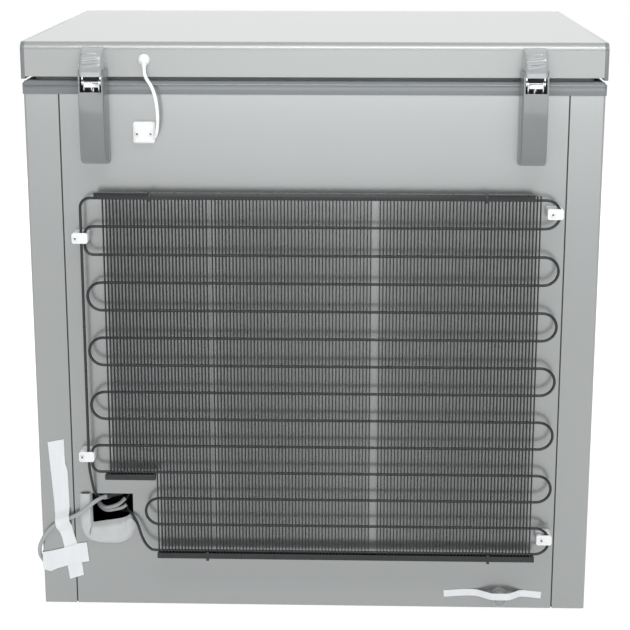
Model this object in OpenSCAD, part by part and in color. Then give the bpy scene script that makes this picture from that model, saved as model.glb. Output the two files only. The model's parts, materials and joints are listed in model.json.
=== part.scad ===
// Chest freezer: insulated cabinet, spring-hinged lid, compressor bay and wire-on-tube condenser.
// Millimetres. +Z is up, the front faces -Y and the condenser is on the back, which faces +Y.
// The origin is on the floor, in the middle of the object without its mains lead.

/* [Cabinet] */
// Width across the side panels
cab_w = 805; // [780:5:840]
// Depth from the front panel to the back panel
cab_d = 550; // [540:5:580]
// Height of the panels' lower edge above the floor
foot_h = 12; // [11:1:14]
// Height of the panels up to the collar's skirt
cab_h = 766; // [750:2:790]
// Thickness of the sheet steel
sheet = 1; // [0.8:0.1:1.2]
// Insulation thickness of the walls
wall = 58; // [54:1:62]
// Width that a side panel wraps onto the back
wrap_w = 48; // [44:1:52]
// Width of the groove between a side panel and the back panel
seam_w = 2; // [1.5:0.5:3]

/* [Lid] */
// Height of the lid
lid_h = 47.5; // [44:0.5:52]
// Gap between the collar and the lid, filled by the gasket
lid_gap = 9.5; // [9:0.5:11]
// Lid overhang beyond the cabinet at the sides and the back
lid_over = 2; // [1.5:0.5:3]
// Radius of the lid's long top edges
lid_r = 12; // [8:1:14]
// Angle at which the lid is drawn, for looking at the hinge only
lid_angle = 0; // [0:1:75]

/* [Compressor bay] */
// Width of the bay at the right-hand end
bay_w = 216; // [210:2:226]
// Height of the bay's ceiling above the floor
bay_h = 240; // [236:2:250]
// Insulation thickness over and beside the bay
bay_wall = 50; // [46:1:54]

/* [Condenser] */
// Number of straight tube runs
runs = 14; // [14:1:14]
// Distance between runs
run_pitch = 40.6; // [40:0.1:41]
// Height of the top run
run_top = 635; // [625:1:640]
// Outside diameter of the tube
tube_d = 4; // [3.8:0.1:4.4]
// Distance of the tube's centre from the back panel
stand_off = 20; // [18:1:22]
// Distance between wires
wire_pitch = 4.833; // [4.7:0.01:4.95]
// Diameter of a wire
wire_d = 1.5; // [1.2:0.1:1.6]

/* [Hinges] */
// Distance of each hinge from the middle
hinge_x = 303; // [295:1:310]
// Distance of the lower cover's face from the back panel
hinge_out = 35; // [34:0.5:36]
// Radius of the hinge pin
pin_r = 2.7; // [2.5:0.1:2.8]

/* [Mains lead] */
// Diameter of the lead
lead_d = 6; // [5.5:0.1:6.2]
// Radius of the coil at the middle of its turns
coil_r = 40; // [39:0.5:41]

/* [Hidden] */

// Extents. The handle and the hinge covers set the depth, so the origin is midway between them.
handle_out = 27;
back_y = (cab_d - hinge_out + handle_out) / 2;
front_y = back_y - cab_d;
side_x = cab_w / 2;
mid_y = (back_y + front_y) / 2;
cab_top = foot_h + cab_h;
collar_top = cab_top + 15;
lid_z = collar_top + lid_gap;
lid_top = lid_z + lid_h;
lid_back = back_y + lid_over;
lid_front = front_y - 4;
lid_x = side_x + lid_over;
wrap_x = side_x - wrap_w;

// Tub: the room inside the liner, with a raised floor over the compressor bay.
liner_t = 1.5;
tub_w = cab_w - 2 * wall - 4;
tub_d = cab_d - 2 * wall - 2;
tub_x = tub_w / 2;
tub_floor = foot_h + 66;
bay_x = side_x - bay_w;
step_x = bay_x - bay_wall;
step_z = bay_h + bay_wall;
ledge_z = cab_top + 2;
ledge_w = 7.5;

// Height of the hinge axis
pin_z = collar_top + 4;

// Condenser levels and side limits
tube_y = back_y + stand_off;
bend_r = run_pitch / 2;
bend_right = 299;
bend_left = -323.5;
short_right = 224;
riser_x = 325.5;
grid_right = 294;
step_wire_x = 224;
function run_z(i) = run_top - i * run_pitch;
rail_h = 8.5;

// Service hole, low at the right-hand end of the back panel
hole_x0 = 266;
hole_x1 = 328;
hole_z0 = 139;
hole_z1 = 187;

// Drain outlet, low at the left-hand end of the back panel
drain_x = -276;
drain_z = 30;

// Compressor
comp_x = 296;
comp_y = back_y - 165;

module box(a, b) {
    translate(a) cube(b - a);
}

module round_rect(w, d, r) {
    square([w, d - 2 * r], center = true);
    square([w - 2 * r, d], center = true);
    for (sx = [-1, 1], sy = [-1, 1]) translate([sx * (w / 2 - r), sy * (d / 2 - r)]) circle(r, $fn = 48);
}

// A profile drawn in Y and Z, extruded along X between two places.
module along_x(x0, x1) {
    translate([x0, 0, 0]) rotate([90, 0, 90]) linear_extrude(x1 - x0) children();
}

// A profile drawn in X and Z, extruded along Y between two places.
module along_y(y0, y1) {
    translate([0, y1, 0]) rotate([90, 0, 0]) linear_extrude(y1 - y0) children();
}

module rod_x(p, r, len, fn = 32) {
    translate(p) rotate([0, 90, 0]) cylinder(r = r, h = len, center = true, $fn = fn);
}

module rod_y(p, r, len, fn = 32) {
    translate(p) rotate([-90, 0, 0]) cylinder(r = r, h = len, $fn = fn);
}

// Sweep of a round section with n sides along a list of points.
function unit(v) = v / norm(v);
function heading(p, i) = unit(p[min(i + 1, len(p) - 1)] - p[max(i - 1, 0)]);
function side_of(t, up) = unit(cross(t, abs(t * up) > 0.95 ? [0, 1, 0.01] : up));
function ring(c, t, up, r, n) =
    let(u = side_of(t, up), v = cross(t, u))
    [for (k = [0:n - 1]) c + r * (cos(360 * (k + 0.5) / n) * u + sin(360 * (k + 0.5) / n) * v)];

module sweep(p, r, n = 10, up = [0, 1, 0]) {
    m = len(p);
    pts = [for (i = [0:m - 1]) each ring(p[i], heading(p, i), up, r, n)];
    side = [for (i = [0:m - 2], k = [0:n - 1]) let(j = (k + 1) % n, a = i * n, b = a + n)
        each [[a + k, a + j, b + j], [a + k, b + j, b + k]]];
    caps = [[for (k = [n - 1:-1:0]) k], [for (k = [0:n - 1]) (m - 1) * n + k]];
    polyhedron(pts, concat(side, caps), convexity = 10);
}

// Points on an arc in the X-Z plane at height y.
function arc_xz(cx, y, cz, r, a0, a1, n) =
    [for (k = [0:n]) let(a = a0 + (a1 - a0) * k / n) [cx + r * cos(a), y, cz + r * sin(a)]];

// Smooth curve through chosen points, with m steps between each pair.
function curve_at(a, b, c, d, t) =
    0.5 * (2 * b + (c - a) * t + (2 * a - 5 * b + 4 * c - d) * t * t + (3 * b - a - 3 * c + d) * t * t * t);
function smooth(p, m) = let(n = len(p)) concat(
    [for (i = [0:n - 2], k = [0:m - 1])
        curve_at(p[max(i - 1, 0)], p[i], p[i + 1], p[min(i + 2, n - 1)], k / m)],
    [p[n - 1]]);

// ---- Cabinet ----

module panel_ring(r) {
    translate([0, mid_y]) difference() {
        round_rect(cab_w, cab_d, r);
        round_rect(cab_w - 2 * sheet, cab_d - 2 * sheet, r - sheet);
    }
}

// Plan of the cabinet's outside: rounded front corners, and tighter ones at the rear.
module cabinet_plan(grow, front_r, rear_r) {
    w = cab_w + 2 * grow;
    d = cab_d + 2 * grow;
    translate([0, mid_y]) round_rect(w, d, front_r);
    translate([0, mid_y + d / 4]) round_rect(w, d / 2, rear_r);
}

panel_top = collar_top - 7.5;
flange_z = foot_h + 3.6;
return_y = front_y + 15;
knob_x = 352;
panel_z = 130;
light_x = [282, 298, 314];

module front_panel() {
    color("silver") difference() {
        translate([0, 0, foot_h]) linear_extrude(panel_top - foot_h) intersection() {
            panel_ring(10);
            translate([-side_x - 5, front_y - 5]) square([cab_w + 10, 20]);
        }
        rod_y([knob_x, front_y - 5, panel_z], 6.5, 20);
        for (x = light_x) rod_y([x, front_y - 5, panel_z], 4.2, 20);
    }
}

vent_y = -60;
vent_rows = 8;
vent_slot = [62, 5];

// Louvre slots through a plate on the right-hand side, in two columns.
module vent_slots(x0, x1) {
    for (i = [0:vent_rows - 1], s = [-1, 1])
        translate([x0, vent_y + s * 38 - vent_slot.x / 2, panel_z - 46 + i * 12.5])
            cube([x1 - x0, vent_slot.x, vent_slot.y]);
}

module side_sheet() {
    translate([0, 0, foot_h]) linear_extrude(panel_top - foot_h) {
        intersection() {
            panel_ring(3);
            translate([wrap_x, return_y + 0.3]) square([wrap_w + 5, cab_d]);
        }
    }
    box([wrap_x, back_y - 7, flange_z], [wrap_x + sheet, back_y - 0.5, panel_top]);
}

module side_panel_right() {
    color("silver") difference() {
        side_sheet();
        vent_slots(side_x - 3, side_x + 3);
    }
}

module side_panel_left() {
    color("silver") mirror([1, 0, 0]) side_sheet();
}

drain_r = 11.3;

module back_panel() {
    half = wrap_x - seam_w;
    color("silver") difference() {
        union() {
            box([-half, back_y - sheet, foot_h], [half, back_y, panel_top]);
            for (s = [-1, 1]) translate([s * (half - sheet / 2) - sheet / 2, back_y - 7, flange_z])
                cube([sheet, 6.5, panel_top - flange_z]);
        }
        box([hole_x0, back_y - 9, hole_z0], [hole_x1, back_y + 9, hole_z1]);
        rod_y([drain_x, back_y - 9, drain_z], drain_r, 20);
    }
}

pan_z = foot_h + 1;
pan_top = foot_h + 2.5;
roller_x = 350;
roller_y = back_y - 62;
foot_y = front_y + 50;

module floor_plan() {
    translate([0, mid_y]) round_rect(cab_w - 2 * sheet - 0.2, cab_d - 2 * sheet - 0.2, 9.5);
}

module roller_pocket(x, z0, z1) {
    box([x - 16, roller_y - 15, z0], [x + 16, roller_y + 15, z1]);
}

module base_pan() {
    color("gainsboro") difference() {
        translate([0, 0, pan_z]) linear_extrude(pan_top - pan_z) intersection() {
            floor_plan();
            translate([-side_x, front_y]) square([side_x + bay_x, cab_d]);
        }
        roller_pocket(-roller_x, 0, 40);
    }
}

comp_bolts = [80, 55];

module bay_base_plate() {
    color("gainsboro") difference() {
        translate([0, 0, pan_z]) linear_extrude(pan_top + 0.5 - pan_z) intersection() {
            floor_plan();
            translate([bay_x + 0.1, front_y]) square([bay_w, cab_d]);
        }
        roller_pocket(roller_x, 0, 40);
        for (i = [0:5]) box([bay_x + 30 + i * 24, -200, 0], [bay_x + 38 + i * 24, -130, 40]);
    }
}

// The room of the tub, grown by t on every side that the liner covers.
module tub_room(t) {
    union() {
        translate([0, mid_y, step_z - t]) linear_extrude(collar_top - step_z + t + 5)
            round_rect(tub_w + 2 * t, tub_d + 2 * t, 22 + t);
        translate([(step_x - tub_x) / 2, mid_y, tub_floor - t]) linear_extrude(collar_top - tub_floor + t + 5)
            round_rect(step_x + tub_x + 2 * t, tub_d + 2 * t, 22 + t);
    }
}

plug_y = mid_y + tub_d / 2 - 52;
pipe_r = 11;

// Upright pipe from the tub's floor, and a slightly thinner one from its foot to the back panel.
module drain_path(r) {
    translate([drain_x, plug_y, drain_z - r]) cylinder(r = r, h = tub_floor - liner_t - drain_z + r, $fn = 48);
    rod_y([drain_x, plug_y, drain_z], r - 1.5, back_y - sheet - 0.1 - plug_y, 48);
}

module cabinet_foam() {
    top = panel_top + 0.4;
    color("khaki") difference() {
        translate([0, 0, pan_top]) linear_extrude(top - pan_top) floor_plan();
        tub_room(liner_t);
        translate([0, mid_y, ledge_z - liner_t]) linear_extrude(40)
            round_rect(tub_w + 2 * ledge_w + 8, tub_d + 2 * ledge_w + 8, 30);
        box([bay_x, front_y - 5, 0], [side_x + 5, back_y + 5, bay_h]);
        for (s = [-1, 1]) translate([s * (wrap_x - seam_w / 2) - 4, back_y - 9, 0]) cube([8, 20, 900]);
        roller_pocket(-roller_x, 0, foot_h + 16);
        drain_path(pipe_r);
    }
}

module inner_liner() {
    color("whitesmoke") difference() {
        union() {
            intersection() {
                tub_room(liner_t);
                translate([-side_x, front_y, 0]) cube([cab_w, cab_d, ledge_z]);
            }
            translate([0, mid_y, ledge_z - liner_t]) linear_extrude(liner_t)
                round_rect(tub_w + 2 * ledge_w + 7, tub_d + 2 * ledge_w + 7, 29);
        }
        tub_room(0);
        translate([drain_x, plug_y, 0]) cylinder(r = 9, h = 200, $fn = 48);
    }
}

collar_over = 1.5;
collar_t = 2;

module top_collar() {
    inner = [tub_w + 2 * ledge_w, tub_d + 2 * ledge_w];
    color("dimgray") difference() {
        translate([0, 0, cab_top]) linear_extrude(collar_top - cab_top)
            cabinet_plan(collar_over, 10, 4);
        linear_extrude(panel_top + 0.5) difference() {
            cabinet_plan(0.05, 8.5, 2.9);
            translate([0, mid_y]) round_rect(inner.x + 2 * collar_t, inner.y + 2 * collar_t, 28);
        }
        translate([0, mid_y, 0]) linear_extrude(ledge_z)
            round_rect(inner.x + 12, inner.y + 12, 30);
        translate([0, mid_y, 0]) linear_extrude(900) round_rect(inner.x, inner.y, 26);
    }
}

// Flat cooling loops held against the liner's outside by the foam.
module cooling_loop(z, x0, x1) {
    w = x1 - x0;
    translate([(x0 + x1) / 2, mid_y, z]) linear_extrude(8) difference() {
        round_rect(w + 16, tub_d + 2 * liner_t + 16.2, 30);
        round_rect(w, tub_d + 2 * liner_t + 0.2, 22 + liner_t);
    }
}

module evaporator_coil() {
    edge = tub_x + liner_t + 0.1;
    loops_low = [100, 145, 190, 235];
    loops_high = [330, 400, 470, 540, 610, 680, 735];
    color("peru") {
        for (z = loops_low) cooling_loop(z, -edge, step_x + liner_t + 0.1);
        for (z = loops_high) cooling_loop(z, -edge, edge);
        box([-edge - 8, mid_y - 4, loops_low[0]], [-edge, mid_y + 4, 743]);
    }
}

module bay_lining() {
    color("gainsboro") union() {
        box([bay_x + 0.1, front_y + 1.5, pan_top + 0.6], [bay_x + 0.9, back_y - 1.5, bay_h - 0.1]);
        box([bay_x + 0.1, front_y + 1.5, bay_h - 0.9], [wrap_x - 8, back_y - 1.5, bay_h - 0.1]);
    }
}

// ---- Cooling machinery ----

comp_r = 66;
comp_z0 = 34;
comp_z1 = 196;

function dome(r, z, h, up, n) = [for (k = [0:n]) let(a = 90 * k / n)
    up ? [r * cos(a), z + h * sin(a)] : [r * sin(a), z - h * cos(a)]];

module compressor_shell() {
    color("black") translate([comp_x, comp_y, 0]) union() {
        rotate_extrude($fn = 64) polygon(concat(
            [[0, comp_z0]],
            [for (p = dome(comp_r, comp_z0 + 26, 26, false, 6)) if (p.x > 20) p],
            dome(comp_r, comp_z1 - 40, 40, true, 7)));
        translate([0, 0, 112]) cylinder(r = comp_r + 3, h = 5, $fn = 64);
        translate([20, -20, comp_z1 - 12]) cylinder(r = 8, h = 16, $fn = 32);
    }
}

module compressor_mount() {
    color("dimgray") translate([comp_x, comp_y, comp_z0 - 3]) difference() {
        linear_extrude(3) round_rect(2 * comp_bolts.x + 34, 2 * comp_bolts.y + 34, 14);
        for (sx = [-1, 1], sy = [-1, 1]) translate([sx * comp_bolts.x, sy * comp_bolts.y, -1])
            cylinder(r = 6, h = 6, $fn = 32);
    }
}

module compressor_grommets() {
    color("black") for (sx = [-1, 1], sy = [-1, 1])
        translate([comp_x + sx * comp_bolts.x, comp_y + sy * comp_bolts.y, pan_top + 0.5]) union() {
            cylinder(r = 12, h = comp_z0 - 3 - pan_top - 0.5, $fn = 32);
            cylinder(r = 5.7, h = comp_z0 - pan_top + 5, $fn = 32);
            translate([0, 0, comp_z0 - pan_top - 0.5]) cylinder(r = 10, h = 4, $fn = 32);
        }
}

module terminal_box() {
    color("black") difference() {
        box([comp_x - 26, comp_y - comp_r - 34, 80], [comp_x + 26, comp_y - 40, 140]);
        translate([comp_x, comp_y, 0]) cylinder(r = comp_r + 3.1, h = 300, $fn = 64);
    }
}

drier_x = 226;
drier_y = 226;

module filter_drier() {
    color("peru") translate([drier_x, drier_y, 0]) rotate_extrude($fn = 32)
        polygon([[0, 78], [2, 78], [3, 86], [9, 94], [9, 140], [3, 148], [2.6, 156], [0, 156]]);
}

module bay_pipes() {
    color("peru") {
        sweep(smooth([[328, 161.4, 150], [334, 174, 150], [343, 190, 152], [347, 212, 158],
            [344, 236, 166], [333, 252, 172], [318.5, 258, 174]], 3), 2.4, 8);
        sweep(smooth([[bay_x + 2.2, 130, 214], [202, 128, 213], [211, 118, 200], [214, 108, 182],
            [220, 106, 170], [233, 106, 165]], 3), 3.2, 8);
        sweep(smooth([[277.4, 257.6, 161], [281, 248, 163], [274, 238, 175], [252, 230, 186],
            [234, 226.5, 182], [drier_x, drier_y, 168], [drier_x, drier_y, 156.1]], 3), 2.2, 8);
        sweep(smooth([[drier_x, drier_y, 77.8], [226, 226, 68], [220, 220, 56], [206, 212, 56],
            [197, 208, 70], [bay_x + 2.2, 207, 82]], 3), 1.1, 8);
    }
}

module vent_grille() {
    color("silver") difference() {
        translate([side_x + 0.05, 0, 0]) rotate([90, 0, 90]) linear_extrude(1.75)
            translate([vent_y, panel_z]) round_rect(176, 118, 8);
        vent_slots(side_x - 3, side_x + 3);
    }
}

face_y = front_y - 5;

module control_panel() {
    color("dimgray") difference() {
        along_y(face_y, front_y) translate([320, panel_z]) round_rect(116, 56, 8);
        rod_y([knob_x, face_y - 5, panel_z], 4.5, 20);
        for (x = light_x) rod_y([x, face_y - 5, panel_z], 3.2, 20);
    }
}

module indicator_lights() {
    color("orange") for (x = light_x) rod_y([x, face_y - 1, panel_z], 3.1, 16);
}

module thermostat_body() {
    color("gainsboro") difference() {
        box([knob_x - 22, front_y + sheet, panel_z - 16], [knob_x + 22, front_y + 30, panel_z + 16]);
        rod_y([knob_x, front_y, panel_z], 3.05, 15);
    }
}

module thermostat_knob() {
    color("gainsboro") union() {
        rod_y([knob_x, face_y - 12, panel_z], 13, 8.7, 64);
        rod_y([knob_x, face_y - 3.6, panel_z], 16, 3.2, 64);
        rod_y([knob_x, face_y - 3, panel_z], 3, 17, 32);
        box([knob_x - 2, face_y - 14, panel_z - 12], [knob_x + 2, face_y - 8, panel_z + 12]);
    }
}

// ---- Condenser ----

function bend(i) =
    let(z = (run_z(i) + run_z(i + 1)) / 2, left = i % 2 == 0,
        cx = left ? bend_left : (i == 11 ? short_right : bend_right))
    left ? arc_xz(cx, tube_y, z, bend_r, 90, 270, 8)
    : i == 1 || i == 9 ? clipped_bend(i) : arc_xz(cx, tube_y, z, bend_r, 90, -90, 8);

// A bend with a straight back, which a clip holds.
function clipped_bend(i) = concat(
    arc_xz(bend_right + 9.6, tube_y, run_z(i) - 12, 12, 90, 0, 5),
    arc_xz(bend_right + 9.6, tube_y, run_z(i + 1) + 12, 12, 0, -90, 5));

condenser_path = concat(
    [[317, back_y - 12, 176], [320, back_y - 2, 182], [322, back_y + 8, 196],
     [324.5, back_y + 16, 222], [riser_x, tube_y, 243]],
    arc_xz(riser_x - 14, tube_y, run_top - 14, 14, 0, 90, 5),
    [for (i = [0:runs - 2]) each bend(i)],
    [[232, tube_y, run_z(13)], [240, tube_y - 0.5, 110], [246.5, tube_y - 1.5, 117],
     [252, tube_y - 3, 128], [256, tube_y - 6, 139], [260.5, back_y + 10, 148],
     [266.5, back_y + 4, 156], [273.5, back_y - 4, 160], [278, back_y - 14, 161]]);

module condenser_tube() {
    color("dimgray") sweep(condenser_path, tube_d / 2, 10);
}

wire_off = (tube_d + wire_d) / 2 + 0.05;
wire_groups = [[grid_right, 31], [141.3, 47], [-93.8, 47]];
rail_top_z = run_top - 0.6;
rail_low_z = run_z(13) - 2.6;
rail_step_z = run_z(10) - 2.6;

module condenser_wires() {
    color("dimgray") for (g = wire_groups, k = [0:g[1] - 1], s = [-1, 1]) {
        x = g[0] - k * wire_pitch;
        z0 = x > step_wire_x + 4 ? rail_step_z - rail_h + 2 : rail_low_z - rail_h + 2;
        translate([x, tube_y + s * wire_off, z0])
            cylinder(r = wire_d / 2, h = rail_top_z + rail_h - 2 - z0, $fn = 16);
    }
}

// A folded channel that clamps the ends of the wires; up is 1 when it opens downwards.
module rail(x0, x1, z, up) {
    half = wire_off + wire_d / 2 + 1;
    wall = 0.9;
    open = half - wall;
    cut = up > 0 ? z - 1 : z - rail_h + 1.2;
    difference() {
        box([x0, tube_y - half, up > 0 ? z : z - rail_h], [x1, tube_y + half, up > 0 ? z + rail_h : z]);
        box([x0 - 1, tube_y - open, cut], [x1 + 1, tube_y + open, cut + rail_h - 0.2]);
    }
}

module rail_tab(x, z) {
    y = tube_y + wire_off + wire_d / 2 + 1;
    box([x - 2, y - 0.2, z - 7], [x + 2, y + 2, z + 7]);
}

module condenser_rails() {
    color("dimgray") {
        union() {
            rail(-308, 305.5, rail_top_z, 1);
            for (x = [227.5, -241]) rail_tab(x, rail_top_z + 4);
        }
        union() {
            rail(-323, 228.5, rail_low_z, -1);
            for (x = [154.5, -255.5]) rail_tab(x, rail_low_z - 4);
        }
        rail(228.6, 302, rail_step_z, -1);
    }
}

clip_h = 15;
clip_out = stand_off + 5;
clip_right = [327, 578];
clip_right_low = [328, 253];
clip_left = [-336.5, 616];
clip_left_low = [-336.5, 131];

module clip(at, x0, x1) {
    difference() {
        along_y(back_y + 0.05, back_y + clip_out) translate(at) round_rect(22, clip_h, 3);
        box([x0, tube_y - 2.9, at.y - 20], [x1, tube_y + 2.9, at.y + 20]);
    }
}

module condenser_clips() {
    color("white") {
        clip(clip_right, 300, 328.4);
        clip(clip_right_low, 300, 328.4);
        clip(clip_left, -360, -333.5);
        clip(clip_left_low, -360, -333.5);
    }
}

module screw_head(x, y, z, r) {
    rod_y([x, y, z], r, 1.6, 24);
}

module panel_screws() {
    y = back_y + clip_out;
    color("lightgray") {
        for (c = [clip_right, clip_right_low]) screw_head(c.x + 6, y, c.y, 3);
        for (c = [clip_left, clip_left_low]) screw_head(c.x + 4, y, c.y, 3);
        for (x = [225.2, 244.3]) screw_head(x, back_y + 8, 724, 2.6);
        for (s = [-1, 1], z = [716, 762]) screw_head(s * hinge_x, back_y + 1.55, z, 4);
    }
}

// ---- Hinges. Profiles are in Y and Z, with Y counted from the back panel. ----

pin_at = [20, pin_z];
knuckle_r = 7.5;
ear_r = 17.4;
face_top = collar_top - 8.3;
cover_low = 680;
base_half = 19.7;
face_half = 16.8;

module both_hinges() {
    for (s = [-1, 1]) translate([s * hinge_x, back_y, 0]) children();
}

module hinge_plate(x0, x1, shape, hole) {
    for (s = [0, 1]) mirror([s, 0, 0]) along_x(x0, x1) difference() {
        union() {
            polygon(shape);
            translate(pin_at) circle(knuckle_r, $fn = 48);
        }
        translate(pin_at) circle(hole, $fn = 48);
    }
}

module hinge_brackets() {
    z = collar_top - 93;
    color("lightgray") both_hinges() union() {
        box([-13, 0.02, z - 6], [13, 1.5, cab_top - 2]);
        hinge_plate(9.5, 11, [[1.4, z], [12, z], [26.5, pin_z - 7], [26.5, pin_z], [13.5, pin_z],
            [3, cab_top + 8], [3, cab_top - 2], [1.4, cab_top - 2]], pin_r + 0.02);
        box([-11, 1.4, z], [11, 16, z + 2]);
        translate([0, 11, z]) cylinder(r = 2, h = pin_z - 9 - z, $fn = 24);
        box([-9.6, 24, pin_z - 6.5], [9.6, 25.5, pin_z - 1]);
        box([-0.7, 24, pin_z - 15], [0.7, 25.5, pin_z - 6]);
    }
}

module hinge_pins() {
    color("lightgray") both_hinges() rod_x([0, pin_at.x, pin_z], pin_r, 28.4, 48);
}

module hinge_springs() {
    z = collar_top - 90.5;
    turns = 9;
    wire = 0.9;
    color("gray") both_hinges() sweep([for (k = [0:turns * 8])
        [5.2 * cos(k * 45), 11 + 5.2 * sin(k * 45), z + wire + k * 72 / (turns * 8)]], wire, 6, [0, 0, 1]);
}

// Plan outline of a cover that narrows from its base to its face.
module draft(base, face, depth) {
    polygon([[-base, 0], [base, 0], [face, depth], [-face, depth]]);
}

cover_side = [[0.05, cover_low], [26, cover_low + 8.5], [31, cover_low + 17], [34, cover_low + 27],
    [hinge_out, cover_low + 38], [hinge_out, pin_z], [2.6, pin_z], [2.6, cab_top - 1], [0.05, cab_top - 1]];
cover_hollow = [[-1, cover_low + 2], [25, cover_low + 10.2], [29.4, cover_low + 18], [32, cover_low + 27.5],
    [33, cover_low + 38], [33, pin_z + 30], [-1, pin_z + 30]];

module hinge_covers() {
    color("gray") both_hinges() difference() {
        intersection() {
            along_x(-30, 30) union() {
                polygon(cover_side);
                translate(pin_at) circle(ear_r, $fn = 64);
            }
            translate([0, 0, cover_low - 1]) linear_extrude(200) draft(base_half, face_half, hinge_out);
            along_y(-1, 60) translate([0, cover_low + 100]) round_rect(2 * base_half, 200, 5);
        }
        intersection() {
            along_x(-30, 30) polygon(cover_hollow);
            translate([0, 0, cover_low]) linear_extrude(200) draft(base_half - 2, face_half - 2, hinge_out);
        }
        box([-face_half + 2, 22, face_top], [face_half - 2, 60, pin_z + 40]);
    }
}

module hinge_arms() {
    color("lightgray") both_hinges() union() {
        box([-13.1, lid_over + 0.02, lid_z + 4], [13.1, lid_over + 1.5, lid_top - 12]);
        hinge_plate(11.6, 13.1, [[lid_over + 0.1, lid_top - 12], [8, lid_top - 12], [25.5, lid_z + 4],
            [26.5, pin_z], [13.5, pin_z], [lid_over + 0.1, lid_z + 4]], pin_r + 0.05);
    }
}

cap_low = lid_z + 3.5;
cap_side = [[lid_over + 0.05, cap_low], [34, cap_low], [34.2, cap_low + 8], [32, cap_low + 12],
    [32.4, cap_low + 15], [29, cap_low + 20], [29.2, cap_low + 23], [24, cap_low + 28],
    [24, cap_low + 31], [15, cap_low + 35], [8, cap_low + 36.5], [lid_over + 0.05, cap_low + 36.5]];
cap_hollow = [[0, cap_low - 1], [32.4, cap_low - 1], [32.4, cap_low + 8], [27, cap_low + 20],
    [21, cap_low + 28], [12, cap_low + 33], [7, cap_low + 34.8], [0, cap_low + 34.8]];

module hinge_caps() {
    color("gray") both_hinges() difference() {
        along_x(-14.4, 14.4) polygon(cap_side);
        along_x(-13.4, 13.4) polygon(cap_hollow);
    }
}

// ---- Lead to the lamp in the lid ----

lamp_x = 233;
lamp_z = lid_z + 23.5;
plate_x = 235;
plate_z = 725.5;
lamp_route = [[232.2, 8.8, 812], [230.9, 13, 806], [227.5, 17, 800], [222, 19, 792], [217.5, 20, 780],
    [215, 20.5, 766], [214, 19.5, 750], [215, 16, 735], [217, 11, 725], [219.9, 6, 719]];

module lamp_lead() {
    color("white") translate([0, back_y, 0]) sweep(smooth(lamp_route, 3), 2.4, 8);
}

module lamp_lead_grommet() {
    color("white") union() {
        translate([lamp_x, lid_back + 0.05, lamp_z]) rotate([-90, 0, 0]) rotate_extrude($fn = 48)
            polygon([[0, 0], [8.3, 0], [8.3, 2.5], [7.4, 5], [5, 7], [2.5, 7.8], [0, 8]]);
        translate([lamp_x - 0.5, lid_back + 5.5, lamp_z - 11.2]) cylinder(r1 = 3, r2 = 4.2, h = 9, $fn = 24);
    }
}

module lamp_lead_plate() {
    color("white") union() {
        along_y(back_y + 0.05, back_y + 6) translate([plate_x, plate_z]) round_rect(30, 30, 3);
        along_y(back_y + 5.9, back_y + 8) translate([plate_x, plate_z]) round_rect(26, 26, 2);
    }
}

// ---- Lid ----

trim_w = 5.5;
skin_x = lid_x - trim_w;

module lid_profile(inset, base, r) {
    y0 = lid_front + inset;
    y1 = lid_back - inset;
    z1 = lid_top - inset;
    union() {
        translate([y0, base]) square([y1 - y0, z1 - r - base]);
        translate([y0 + r, base]) square([y1 - y0 - 2 * r, z1 - base]);
        for (y = [y0 + r, y1 - r]) translate([y, z1 - r]) circle(r, $fn = 48);
    }
}

module lid_skin() {
    color("silver") difference() {
        along_x(-skin_x, skin_x) lid_profile(0, lid_z, lid_r);
        along_x(-skin_x - 1, skin_x + 1) lid_profile(sheet, lid_z + sheet, lid_r - sheet);
        box([-skin_x - 1, lid_front + 11, lid_z - 1], [skin_x + 1, lid_back - 11, lid_z + 2]);
    }
}

module lid_end_trims() {
    color("gray") for (s = [0, 1]) mirror([s, 0, 0])
        along_x(skin_x + 0.05, lid_x) lid_profile(0, lid_z - 3.5, lid_r);
}

module lid_foam() {
    color("khaki") along_x(-skin_x + 0.2, skin_x - 0.2) lid_profile(sheet + 0.1, lid_z + 3.1, lid_r - sheet);
}

module lid_liner() {
    color("whitesmoke") difference() {
        translate([0, 0, lid_z + sheet + 0.05]) linear_extrude(2) translate([0, (lid_front + lid_back) / 2])
            round_rect(2 * skin_x - 0.4, lid_back - lid_front - 2.2, 6);
        for (s = [-1, 1]) translate([s * 190, mid_y, lid_z]) linear_extrude(sheet + 0.6) difference() {
            round_rect(300, 380, 30);
            round_rect(292, 372, 26);
        }
    }
}

gasket_in = 12.5;

module lid_gasket() {
    color("gray") translate([0, mid_y, 0]) union() {
        translate([0, 0, collar_top + 0.3]) linear_extrude(6.5) difference() {
            round_rect(cab_w - 2 * gasket_in, cab_d - 2 * gasket_in, 12);
            round_rect(cab_w - 2 * gasket_in - 26, cab_d - 2 * gasket_in - 26, 6);
        }
        translate([0, 0, collar_top + 6.7]) linear_extrude(lid_z + sheet - collar_top - 6.7) difference() {
            round_rect(cab_w - 2 * gasket_in - 4, cab_d - 2 * gasket_in - 4, 10);
            round_rect(cab_w - 2 * gasket_in - 22, cab_d - 2 * gasket_in - 22, 6);
        }
    }
}

handle_y = front_y - handle_out;
handle_half = 85;

module lid_handle() {
    top = lid_z + 36;
    outer = [[lid_front - 0.05, top], [lid_front - 12, top - 1.5], [handle_y + 4, top - 9],
        [handle_y + 1, top - 15], [handle_y, top - 22], [handle_y, lid_z - 10], [handle_y + 3, lid_z - 13],
        [handle_y + 6, lid_z - 12], [lid_front - 0.05, lid_z - 2]];
    gap = [[handle_y + 5.5, lid_z - 20], [handle_y + 5.5, lid_z + 10], [handle_y + 9, lid_z + 16],
        [lid_front + 1, lid_z + 16], [lid_front + 1, lid_z - 20]];
    color("dimgray") difference() {
        along_x(-handle_half, handle_half) polygon(outer);
        along_x(-handle_half + 5, handle_half - 5) polygon(gap);
    }
}

lamp_cx = 205;
lamp_y = mid_y + tub_d / 2 - 45;

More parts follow.
